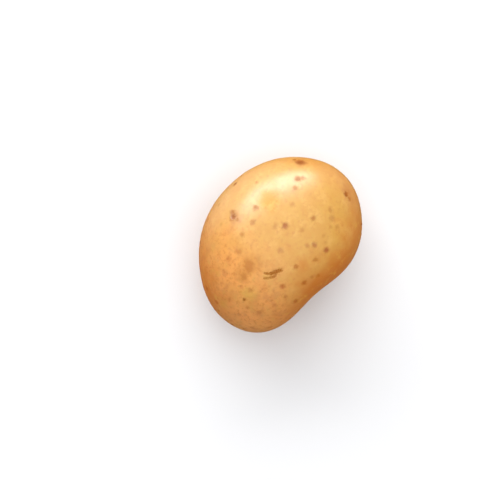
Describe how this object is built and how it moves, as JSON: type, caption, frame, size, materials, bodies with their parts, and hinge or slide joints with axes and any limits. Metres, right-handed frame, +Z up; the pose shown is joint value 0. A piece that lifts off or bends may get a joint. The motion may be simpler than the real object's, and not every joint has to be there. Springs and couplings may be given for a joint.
{
  "type": "potato",
  "caption": "Whole raw potato of a yellow waxy kind, egg-shaped with a slight waist on one flank, lying on a small flat spot under its belly.",
  "frame": {"origin": "on the surface that the potato rests on, under the middle of its box, inside the flat resting spot", "axes": "+X along the tuber to its broad end, +Y across it away from the waisted flank, +Z up through the thickness"},
  "size_m": [0.09, 0.0688, 0.058],
  "materials": {
    "potato_skin": null
  },
  "bodies": {
    "root": {"potato": "potato_skin"}
  },
  "joints": []
}
